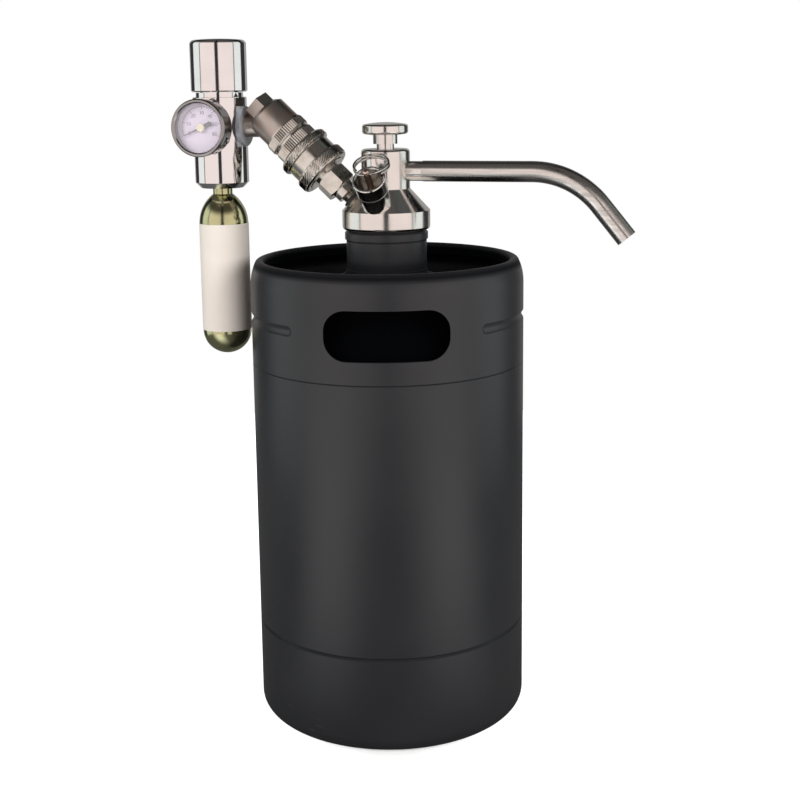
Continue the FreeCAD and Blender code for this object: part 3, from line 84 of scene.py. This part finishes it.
class Finish:
    """A named material: one Principled shader, its constants, and the nodes that vary it."""

    def __init__(self, name, color, roughness, metallic=0.0, **constants):
        self.material = bpy.data.materials.new(name)
        self.material.use_nodes = True
        self.nodes = self.material.node_tree.nodes
        self.links = self.material.node_tree.links
        self.shader = self.nodes["Principled BSDF"]
        self.shader.inputs["Base Color"].default_value = (*color, 1.0)
        self.shader.inputs["Roughness"].default_value = roughness
        self.shader.inputs["Metallic"].default_value = metallic
        for key, number in constants.items():
            self.shader.inputs[key.replace("_", " ")].default_value = number

    def put(self, value, socket):
        if isinstance(value, Value):
            self.links.new(value.socket, socket)
        else:
            socket.default_value = value

    def node(self, kind, inputs, **settings):
        made = self.nodes.new(kind)
        for key, setting in settings.items():
            setattr(made, key, setting)
        for key, value in inputs.items():
            self.put(value, made.inputs[key])
        return Value(self, made.outputs[0])

    def place(self, origin=(0, 0, 0), turn=(0, 0, 0)):
        """Points in the frame of a piece that lies at origin, turned by degrees."""
        here = self.node("ShaderNodeTexCoord", {}).part("Object")
        return self.node("ShaderNodeMapping", {
            "Vector": here, "Location": origin,
            "Rotation": tuple(math.radians(angle) for angle in turn)}, vector_type="TEXTURE")

    def noise(self, where, scale, stretch=(1, 1, 1), detail=3.0):
        """Noise from 0 to 1; stretch multiplies the pattern's density along each axis."""
        points = self.node("ShaderNodeMapping", {"Vector": where, "Scale": stretch})
        return self.node("ShaderNodeTexNoise", {"Vector": points, "Scale": scale,
                                                "Detail": detail})

    def vary(self, key, value):
        self.put(value, self.shader.inputs[key])

    def colors(self, amount, first, second):
        """The base colour runs from first to second as amount goes from 0 to 1."""
        mix = self.node("ShaderNodeMix", {}, data_type="RGBA")
        made = mix.socket.node
        self.put(amount, made.inputs[0])
        made.inputs[6].default_value = (*first, 1.0)
        made.inputs[7].default_value = (*second, 1.0)
        self.put(Value(self, made.outputs[2]), self.shader.inputs["Base Color"])

    def bump(self, height, distance):
        self.vary("Normal", self.node("ShaderNodeBump", {"Height": height,
                                                         "Distance": distance}))


def dress(finish, *nodes):
    """Give solids their material."""
    for name in nodes:
        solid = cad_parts[name]
        if not solid.material_slots:
            solid.data.materials.append(finish.material)
        for slot in solid.material_slots:
            slot.material = finish.material


def sheet_piece(name, across, along, shape, finish, body, close=False):
    """A fine grid bent into shape; shape gives the place of grid column i and row j."""
    bpy.ops.mesh.primitive_grid_add(x_subdivisions=across, y_subdivisions=along, size=2)
    piece = bpy.context.object
    piece.name = name
    for point in piece.data.vertices:
        column = round((point.co.x + 1) / 2 * across)
        row = round((point.co.y + 1) / 2 * along)
        point.co = shape(column, row)
    if close:
        bpy.ops.object.mode_set(mode="EDIT")
        bpy.ops.mesh.select_all(action="SELECT")
        bpy.ops.mesh.remove_doubles(threshold=0.00001)
        bpy.ops.mesh.normals_make_consistent(inside=False)
        bpy.ops.object.mode_set(mode="OBJECT")
    piece.data.materials.append(finish.material)
    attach(piece, body)
    piece.select_set(False)
    return piece


# Places that several pieces share

TURN = -15.5
gas_origin, gas_turn = (-0.014382, 0.003989, 0.230), (0, -47, TURN)
relief_origin, relief_turn = (-0.003989, -0.014382, 0.230), (47, 0, TURN)
regulator_origin = (-0.073916, 0.020499, 0.261781)
spout_turn = (0, 90, TURN)
gas_frame = Matrix.LocRotScale(Vector(gas_origin),
                               Euler([math.radians(angle) for angle in gas_turn]), None)
gauge_frame = Matrix.LocRotScale(Vector(regulator_origin),
                                 Euler([math.radians(angle) for angle in (90, 0, TURN)]), None)


# Keg: tank, skirt, collar and neck, all of deep-drawn steel under one matt powder coat.
# The coat has a fine orange peel and a few pale rub marks low on the left of the skirt.
coat = Finish("black_coat", (0.020, 0.020, 0.022), 0.36)
here = coat.place()
peel = coat.noise(here, 900.0)
cloud = coat.noise(here, 14.0)
rub = coat.noise(here, 120.0, (1.0, 1.0, 6.0)).ramp(0.62, 0.72)
split = coat.node("ShaderNodeSeparateXYZ", {"Vector": here})
low = split.part("Z").ramp(0.03, 0.012)
left = split.part("X").ramp(-0.025, -0.04)
around = (split.part("X") * split.part("X") + split.part("Y") * split.part("Y")).sum("POWER", 0.5)
# Painted shade, not a finish: inside the collar and on top of the tank the coat is made nearly
# black and part metallic. The real coat is the same there as outside.
well = split.part("Z").ramp(0.1550, 0.1565) * around.ramp(0.030, 0.032).sum(
    "MAXIMUM", split.part("Z").ramp(0.212, 0.190))
inside = around.ramp(0.0590, 0.0580) * well * split.part("Z").ramp(0.2054, 0.2025)
coat.colors(((rub * low * left * 0.5) + (cloud * 0.25) + 0.08) * (1.0 - inside),
            (0.002, 0.003, 0.005), (0.072, 0.072, 0.075))
coat.vary("Metallic", inside * 0.85)
coat.vary("Roughness", cloud.ramp(0.3, 0.7, 0.33, 0.39) + inside * 0.5)
coat.bump(peel, 0.00003)
dress(coat, "keg_tank", "base_skirt", "top_collar", "keg_neck")

# Cap gasket, valve seals and O-rings: moulded black rubber with a dull bloom, pressed into
# their grooves by hand.
rubber = Finish("seal_rubber", (0.022, 0.022, 0.022), 0.7)
bloom = rubber.noise(rubber.place(), 300.0)
rubber.vary("Roughness", bloom.ramp(0.3, 0.7, 0.62, 0.8))
rubber.bump(bloom, 0.00002)
dress(rubber, "cap_gasket", "stem_seal", "valve_seal", "relief_seal", "plug_washer",
      "coupler_seal", "cartridge_seal", "piston_seal")

# Cap, valve stem and button: turned stainless steel, polished, with the last pass of the
# tool still showing as very fine rings round the upright axis.
polish = Finish("polished_steel", (0.83, 0.80, 0.77), 0.12, 1.0)
here = polish.place()
rings = polish.noise(here, 60.0, (0.6, 0.6, 60.0))
smear = polish.noise(here, 70.0)
polish.vary("Roughness", (rings * 0.10) + smear.ramp(0.35, 0.7, 0.07, 0.15))
polish.colors(smear.ramp(0.3, 0.75), (0.84, 0.81, 0.78), (0.76, 0.73, 0.70))
polish.bump(rings, 0.000012)
dress(polish, "tap_cap", "valve_stem", "push_button")

# Dip tube and its bushing: plain drawn tube held in a white acetal bush inside the cap.
drawn = Finish("drawn_steel", (0.70, 0.69, 0.67), 0.3, 1.0)
draw_lines = drawn.noise(drawn.place(), 80.0, (12.0, 12.0, 0.5))
drawn.vary("Roughness", draw_lines.ramp(0.3, 0.7, 0.22, 0.4))
drawn.bump(draw_lines, 0.00001)
dress(drawn, "dip_tube")
acetal = Finish("white_plastic", (0.80, 0.79, 0.75), 0.45)
grain = acetal.noise(acetal.place(), 400.0, (1.0, 1.0, 5.0))
acetal.vary("Roughness", grain.ramp(0.3, 0.7, 0.4, 0.55))
acetal.bump(grain, 0.00001)
dress(acetal, "dip_tube_bushing", "regulator_seat")

# Springs, clips, balls, split ring and small steel fasteners: bright drawn wire and ground
# steel, wound, snapped or dropped into place.
wire = Finish("spring_steel", (0.70, 0.68, 0.66), 0.2, 1.0)
pull = wire.noise(wire.place(), 700.0)
wire.vary("Roughness", pull.ramp(0.3, 0.7, 0.14, 0.3))
wire.bump(pull, 0.000005)
dress(wire, "button_spring", "relief_spring", "sleeve_spring", "check_spring", "poppet_spring",
      "range_spring", "split_ring", "sleeve_clip", "spring_stop", "locking_balls",
      "piercing_pin", "spring_plate", "needle_arbor", "gauge_case_screw")

# Spout: bent stainless tube, brushed along its length, pressed over the cap's side boss.
satin = Finish("satin_steel", (0.74, 0.72, 0.69), 0.26, 1.0)
here = satin.place((0, 0, 0.2423), spout_turn)
brush = satin.noise(here, 90.0, (9.0, 9.0, 0.4))
satin.vary("Roughness", brush.ramp(0.3, 0.7, 0.18, 0.34))
satin.colors(brush.ramp(0.35, 0.7), (0.78, 0.76, 0.73), (0.62, 0.60, 0.57))
satin.bump(brush, 0.000002)
dress(satin, "spout_tube")

# Relief valve body: turned and polished like the cap, but on its own tilted axis.
cup = Finish("relief_steel", (0.74, 0.72, 0.69), 0.14, 1.0)
here = cup.place(relief_origin, relief_turn)
rings = cup.noise(here, 70.0, (0.6, 0.6, 40.0))
split = cup.node("ShaderNodeSeparateXYZ", {"Vector": here})
height = split.part("Z")
around = (split.part("X") * split.part("X") + split.part("Y") * split.part("Y")).sum("POWER", 0.5)
# Painted shade, not a finish: the cup's inside is darker than its steel really is.
hollow = around.ramp(0.0063, 0.0059) * height.ramp(0.0090, 0.0093) * height.ramp(0.0153, 0.0147)
# The foot, where the cup meets its boss, is duller, so that the joint shows as a line.
foot = height.ramp(0.0089, 0.0085)
cup.colors(hollow, (0.74, 0.72, 0.69), (0.40, 0.38, 0.35))
cup.vary("Roughness", rings.ramp(0.3, 0.7, 0.08, 0.22) + foot * 0.4)
cup.bump(rings, 0.00001)
dress(cup, "relief_body")

# Relief pull pin: a turned pin of bare copper alloy, gone pinkish brown.
copper = Finish("copper_pin", (0.62, 0.46, 0.40), 0.25, 1.0)
tarnish = copper.noise(copper.place(relief_origin, relief_turn), 400.0)
copper.colors(tarnish.ramp(0.35, 0.7), (0.86, 0.70, 0.64), (0.62, 0.48, 0.43))
copper.vary("Roughness", tarnish.ramp(0.3, 0.7, 0.2, 0.36))
dress(copper, "relief_pull_pin")

# Elbow and outlet nipple: turned brass under a dark gunmetal plate, which is a little
# browner where hands and spanners have touched it.
bronze = Finish("dark_bronze", (0.24, 0.20, 0.175), 0.28, 1.0)
here = bronze.place(gas_origin, gas_turn)
touch = bronze.noise(here, 130.0)
turning = bronze.noise(here, 70.0, (0.6, 0.6, 30.0))
bronze.colors(touch.ramp(0.35, 0.65), (0.52, 0.50, 0.47), (0.56, 0.44, 0.38))
bronze.vary("Roughness", touch.ramp(0.3, 0.7, 0.30, 0.42))
bronze.bump(turning, 0.000012)
dress(bronze, "elbow_body", "outlet_nipple")

# Gas plug, coupler body, sleeve and ring: turned brass under warm nickel, screwed and
# snapped together along the tilted gas axis.
nickel = Finish("warm_nickel", (0.56, 0.53, 0.49), 0.2, 1.0)
here = nickel.place(gas_origin, gas_turn)
turning = nickel.noise(here, 70.0, (0.6, 0.6, 40.0))
haze = nickel.noise(here, 160.0)
nickel.colors(haze.ramp(0.3, 0.7), (0.78, 0.75, 0.69), (0.62, 0.59, 0.54))
nickel.vary("Roughness", (turning * 0.12) + haze.ramp(0.3, 0.7, 0.10, 0.2))
nickel.bump(turning, 0.000012)
dress(nickel, "gas_plug", "coupler_body", "coupler_sleeve", "coupler_ring")

# Knurls on the coupler's sleeve: two diamond bands rolled into its lands, so that every
# other point of the grid stands up.
KNURL_TURNS = 84
KNURL_RISE = 0.00034
KNURL_ROOT = 0.00004
SLEEVE_LAND = 0.0122


def diamond(radius, low, high, rows):
    def shape(column, row):
        angle = math.tau * (column % KNURL_TURNS) / KNURL_TURNS
        edge = row in (0, rows)
        raised = (column + row) % 2 == 0 and not edge
        reach = radius + (KNURL_RISE if raised else -KNURL_ROOT)
        height = low + (high - low) * row / rows
        return gas_frame @ Vector((reach * math.cos(angle), reach * math.sin(angle), height))
    return shape


sheet_piece("sleeve_knurl_front", KNURL_TURNS, 8, diamond(SLEEVE_LAND, 0.0174, 0.0218, 8), nickel,
            "sleeve", close=True)
sheet_piece("sleeve_knurl_rear", KNURL_TURNS, 6, diamond(SLEEVE_LAND, 0.0286, 0.0315, 6), nickel,
            "sleeve", close=True)

# Straight knurls on the coupler's rear section and its ring: teeth along the axis.
TEETH = 60
TOOTH_RISE = 0.0003


def ribbed(radius, low, high, rise):
    def shape(column, row):
        angle = math.tau * (column % (TEETH * 2)) / (TEETH * 2)
        raised = column % 2 == 0 and row in (1, 2)
        reach = radius + (rise if raised else -KNURL_ROOT)
        height = (low, low + 0.0004, high - 0.0004, high)[row]
        return gas_frame @ Vector((reach * math.cos(angle), reach * math.sin(angle), height))
    return shape


sheet_piece("rear_knurl", TEETH * 2, 3, ribbed(0.00965, 0.0325, 0.0373, TOOTH_RISE), nickel,
            "gas_side", close=True)
sheet_piece("ring_knurl", TEETH * 2, 3, ribbed(0.00985, 0.0387, 0.0430, TOOTH_RISE), nickel,
            "gas_side", close=True)

# Pressure knob, bonnet and gauge stem: turned brass under bright chrome, screwed together.
chrome = Finish("chrome_plate", (0.86, 0.83, 0.83), 0.07, 1.0)
here = chrome.place(regulator_origin)
sweep = chrome.noise(here, 60.0, (8.0, 8.0, 0.6))
haze = chrome.noise(here, 90.0)
chrome.vary("Roughness", haze.ramp(0.35, 0.75, 0.05, 0.13))
chrome.colors(haze.ramp(0.3, 0.8), (0.88, 0.85, 0.85), (0.80, 0.77, 0.77))
chrome.bump(sweep, 0.000006)
dress(chrome, "pressure_knob", "gauge_stem", "bonnet")

# Regulator body: the same chrome, except on the outlet boss, which is left brushed upright
# and is greyer and duller.
block = Finish("regulator_chrome", (0.86, 0.83, 0.83), 0.07, 1.0)
here = block.place(regulator_origin, (0, 0, TURN))
split = block.node("ShaderNodeSeparateXYZ", {"Vector": here})
boss = split.part("X").ramp(0.0101, 0.0106) * split.part("Z").sum("ABSOLUTE").ramp(
    0.0090, 0.0086)
scratch = block.noise(here, 160.0, (9.0, 9.0, 0.4))
block.colors(boss, (0.86, 0.83, 0.83), (0.46, 0.49, 0.52))
block.vary("Metallic", boss.ramp(0.0, 1.0, 1.0, 0.35))
block.vary("Roughness", boss * (scratch.ramp(0.3, 0.7, 0.2, 0.4)) + 0.07)
block.bump(scratch * boss, 0.00003)
dress(block, "regulator_body")

# Piston, poppet, screw, check valve and gauge works: plain turned brass, hidden
# inside the regulator and the gauge.
brass = Finish("plain_brass", (0.72, 0.56, 0.28), 0.25, 1.0)
turning = brass.noise(brass.place(), 90.0, (1.0, 1.0, 20.0))
brass.vary("Roughness", turning.ramp(0.3, 0.7, 0.18, 0.34))
brass.bump(turning, 0.00001)
dress(brass, "regulator_piston", "regulator_poppet", "adjusting_screw", "check_valve",
      "gauge_movement", "bourdon_tube")

# Gauge case and bezel: pressed steel under black chrome; the bezel snaps over the case.
smoke = Finish("dark_chrome", (0.36, 0.35, 0.35), 0.12, 1.0)
here = smoke.place(regulator_origin, (90, 0, TURN))
turning = smoke.noise(here, 60.0, (0.8, 0.8, 40.0))
smoke.vary("Roughness", turning.ramp(0.3, 0.7, 0.08, 0.18))
smoke.bump(turning, 0.00001)
dress(smoke, "gauge_case", "gauge_bezel")

# Gauge dial: a thin enamelled disc, with its scale printed in dark grey and the end of the
# range in red. The prints lie just above the enamel.
enamel = Finish("dial_white", (0.70, 0.62, 0.76), 0.5)
mottle = enamel.noise(enamel.place(), 500.0)
enamel.vary("Roughness", mottle.ramp(0.3, 0.7, 0.45, 0.55))
enamel.bump(mottle, 0.000004)
dress(enamel, "gauge_dial")
ink = Finish("dial_ink", (0.045, 0.045, 0.055), 0.6)
ink.vary("Roughness", ink.noise(ink.place(), 800.0).ramp(0.3, 0.7, 0.5, 0.7))
red_ink = Finish("dial_red", (0.45, 0.035, 0.03), 0.6)
red_ink.vary("Roughness", red_ink.noise(red_ink.place(), 800.0).ramp(0.3, 0.7, 0.5, 0.7))
PRINT_HEIGHT = 0.02073
ZERO_ANGLE, FULL_ANGLE = 202.5, -25.0
STEPS = 30


def dial_band(start, end, inner, outer, columns):
    def shape(column, row):
        angle = math.radians(start + (end - start) * column / columns)
        reach = inner + (outer - inner) * row
        return gauge_frame @ Vector((reach * math.cos(angle), reach * math.sin(angle),
                                     PRINT_HEIGHT))
    return shape


for step in range(STEPS + 1):
    angle = ZERO_ANGLE + (FULL_ANGLE - ZERO_ANGLE) * step / STEPS
    major = step % 5 == 0
    half = 0.75 if major else 0.4
    inner = 0.0078 if major else 0.0084
    sheet_piece("dial_tick_" + str(step), 1, 1,
                dial_band(angle + half, angle - half, inner, 0.0092, 1),
                red_ink if step == STEPS else ink, "gas_side")
sheet_piece("dial_line", 60, 1, dial_band(ZERO_ANGLE, 21.0, 0.0092, 0.00935, 60), ink,
            "gas_side")
sheet_piece("dial_red_line", 20, 1, dial_band(21.0, FULL_ANGLE, 0.0092, 0.0096, 20), red_ink,
            "gas_side")
for count in range(7):
    angle = math.radians(ZERO_ANGLE + (FULL_ANGLE - ZERO_ANGLE) * count / 6)
    bpy.ops.object.text_add()
    number = bpy.context.object
    number.name = "dial_number_" + str(count * 10)
    number.data.body = str(count * 10)
    number.data.size = 0.0023
    number.data.align_x = "CENTER"
    number.data.align_y = "CENTER"
    number.matrix_world = gauge_frame @ Matrix.Translation(
        (0.0064 * math.cos(angle), 0.0064 * math.sin(angle), PRINT_HEIGHT))
    bpy.ops.object.convert(target="MESH")
    bpy.ops.object.transform_apply(location=True, rotation=True, scale=True)
    number = bpy.context.object
    number.data.materials.clear()
    number.data.materials.append(ink.material)
    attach(number, "gas_side")
    number.select_set(False)

# Gauge needle and hub: a blackened steel pointer pressed on the arbor, under a cream cap.
dark_paint = Finish("needle_grey", (0.06, 0.06, 0.065), 0.4)
dark_paint.vary("Roughness", dark_paint.noise(dark_paint.place(), 900.0).ramp(
    0.3, 0.7, 0.32, 0.5))
dress(dark_paint, "gauge_needle")
cream = Finish("hub_cream", (0.72, 0.66, 0.48), 0.35)
cream.vary("Roughness", cream.noise(cream.place(), 900.0).ramp(0.3, 0.7, 0.3, 0.42))
dress(cream, "needle_hub")

# Gauge window: clear moulded lens, held by the bezel, with a trace of haze.
lens = Finish("window", (0.95, 0.96, 0.98), 0.03, Alpha=0.1, IOR=1.5)
lens.vary("Roughness", lens.noise(lens.place(), 200.0).ramp(0.3, 0.8, 0.02, 0.06))
dress(lens, "gauge_window")

# Gas cartridge: deep-drawn steel under yellow zinc, smooth and bright, which screws up into
# the regulator.
gold = Finish("gold_plate", (0.62, 0.58, 0.26), 0.16, 1.0)
here = gold.place(regulator_origin)
cloud = gold.noise(here, 60.0)
gold.colors(cloud.ramp(0.3, 0.7), (0.62, 0.62, 0.36), (0.44, 0.42, 0.24))
gold.vary("Roughness", cloud.ramp(0.3, 0.7, 0.12, 0.22))
gold.bump(gold.noise(here, 300.0), 0.00001)
dress(gold, "gas_cartridge")

# Cartridge label: bare off-white film, wrapped once and glued, with a faint paper tooth.
film = Finish("label_film", (0.74, 0.69, 0.63), 0.5)
here = film.place(regulator_origin)
tooth = film.noise(here, 500.0)
tone = film.noise(here, 40.0)
film.colors(tone.ramp(0.3, 0.7), (0.76, 0.71, 0.65), (0.70, 0.65, 0.59))
film.vary("Roughness", tooth.ramp(0.3, 0.7, 0.45, 0.6))
film.bump(tooth, 0.00001)
dress(film, "cartridge_label")


# Stage: a round floor, four soft lamps that don't show in reflections, a ring of coloured
# panels round the horizon, and the camera of the photograph. Only the camera sees white:
# every other ray sees the panels.

bpy.ops.mesh.primitive_circle_add(vertices=96, radius=0.55, fill_type="NGON",
                                  location=(0, 0, -0.0002))
floor = bpy.context.object
floor.name = "floor"
paper = Finish("floor_paper", (0.9, 0.9, 0.9), 0.9, Emission_Strength=1.0)
split = paper.node("ShaderNodeSeparateXYZ", {"Vector": paper.place()})
across, along = split.part("X"), split.part("Y")
away = (across * across + along * along).sum("POWER", 0.5)
seen = paper.node("ShaderNodeLightPath", {}).part("Is Camera Ray")
# The camera sees mostly the floor's own light, less a patch of painted shade in front of the
# keg. To every other ray the floor is dark, and it glows on either side of the front.
side = along.sum("ARCTAN2", across) + math.pi / 2
glow = side.sum("ABSOLUTE").ramp(0.25, 0.65) * side.sum("ABSOLUTE").ramp(1.35, 0.95)
contact = away.ramp(0.094, 0.060) * side.sum("ABSOLUTE").ramp(0.80, 0.15)
paper.vary("Emission Color", (away.ramp(0.08, 0.45, 0.84, 1.0) - contact * 0.45) * seen
           + glow * (1.0 - seen) * away.ramp(0.08, 0.25) * 1.1)
paper.vary("Base Color", seen.ramp(0.0, 1.0, 0.15, 0.9))
floor.data.materials.append(paper.material)
floor.select_set(False)

for name, place, size, power in (
        ("left_lamp", (-0.95, -1.0, 0.75), 0.7, 13.0),
        ("right_lamp", (1.05, -0.9, 0.65), 0.7, 12.0),
        ("top_lamp", (0.0, 0.2, 1.5), 1.2, 6.0),
        ("back_lamp", (0.2, 1.3, 0.8), 0.8, 4.0)):
    bpy.ops.object.light_add(type="AREA", location=place)
    lamp = bpy.context.object
    lamp.name = name
    lamp.data.size = size
    lamp.data.energy = power
    lamp.visible_glossy = False
    aim = Vector((0, 0, 0.16)) - Vector(place)
    lamp.rotation_euler = aim.to_track_quat("-Z", "Y").to_euler()
    lamp.select_set(False)

world = bpy.data.worlds.new("studio")
bpy.context.scene.world = world
world.use_nodes = True
nodes, links = world.node_tree.nodes, world.node_tree.links
nodes.clear()


def step(kind, settings, **inputs):
    """One node of the studio's light; inputs are numbers or other nodes' outputs."""
    made = nodes.new(kind)
    for key, setting in settings.items():
        setattr(made, key, setting)
    for key, value in inputs.items():
        socket = made.inputs[int(key[1:])]
        if isinstance(value, bpy.types.NodeSocket):
            links.new(value, socket)
        else:
            socket.default_value = value
    return made.outputs


COOL, WARM, BACK = (0.90, 0.96, 0.93), (0.98, 0.88, 0.84), (0.40, 0.39, 0.38)
PANELS = (  # the bearings where each panel starts and ends, in degrees, and its colour
    (-180, -166, COOL), (-160, -98, WARM), (-82, -20, WARM), (-14, 20, COOL),
    (55, 125, BACK), (160, 180, COOL))
heading = step("ShaderNodeSeparateXYZ", {}, _0=step("ShaderNodeTexCoord", {})["Generated"])
bearing = step("ShaderNodeMath", {"operation": "ARCTAN2"}, _0=heading["Y"], _1=heading["X"])
share = step("ShaderNodeMapRange", {}, _0=bearing[0], _1=-math.pi, _2=math.pi)
bands = step("ShaderNodeValToRGB", {}, _0=share[0])
stops = bands[0].node.color_ramp.elements
DARK, EDGE = (0.035, 0.035, 0.04, 1), 0.006
stops[0].color = stops[1].color = (*COOL, 1)
for start, end, tone in PANELS:
    first, last = (start + 180) / 360, (end + 180) / 360
    for position, color in ((first - EDGE, DARK), (first, (*tone, 1)), (last, (*tone, 1)),
                            (last + EDGE, DARK)):
        if 0 < position < 1:
            stops.new(position).color = color
rise = step("ShaderNodeMath", {"operation": "ABSOLUTE"}, _0=heading["Z"])
strength = step("ShaderNodeMapRange", {"interpolation_type": "SMOOTHSTEP"}, _0=rise[0],
                _1=0.36, _2=0.62, _3=1.0, _4=0.10)
studio = step("ShaderNodeBackground", {}, _0=bands[0], _1=strength[0])
white = step("ShaderNodeBackground", {}, _0=(1, 1, 1, 1), _1=1.0)
seen = step("ShaderNodeLightPath", {})["Is Camera Ray"]
light = step("ShaderNodeMixShader", {}, _0=seen, _1=studio[0], _2=white[0])
step("ShaderNodeOutputWorld", {}, _0=light[0])

bpy.ops.object.camera_add()
camera = bpy.context.object
camera.name = "camera"
camera.data.sensor_width = 36.0
camera.data.lens = 59.69
camera.data.shift_y = -0.10
camera.data.clip_start = 0.01
camera.matrix_world = (
    Matrix.Translation((0.00531, -0.58024, 0.27937))
    @ Matrix.Rotation(math.radians(-0.013), 4, "Z")
    @ Matrix.Rotation(math.radians(90 - 10.081), 4, "X")
    @ Matrix.Rotation(math.radians(-0.7), 4, "Z"))
bpy.context.scene.camera = camera
bpy.context.scene.view_settings.view_transform = "Standard"
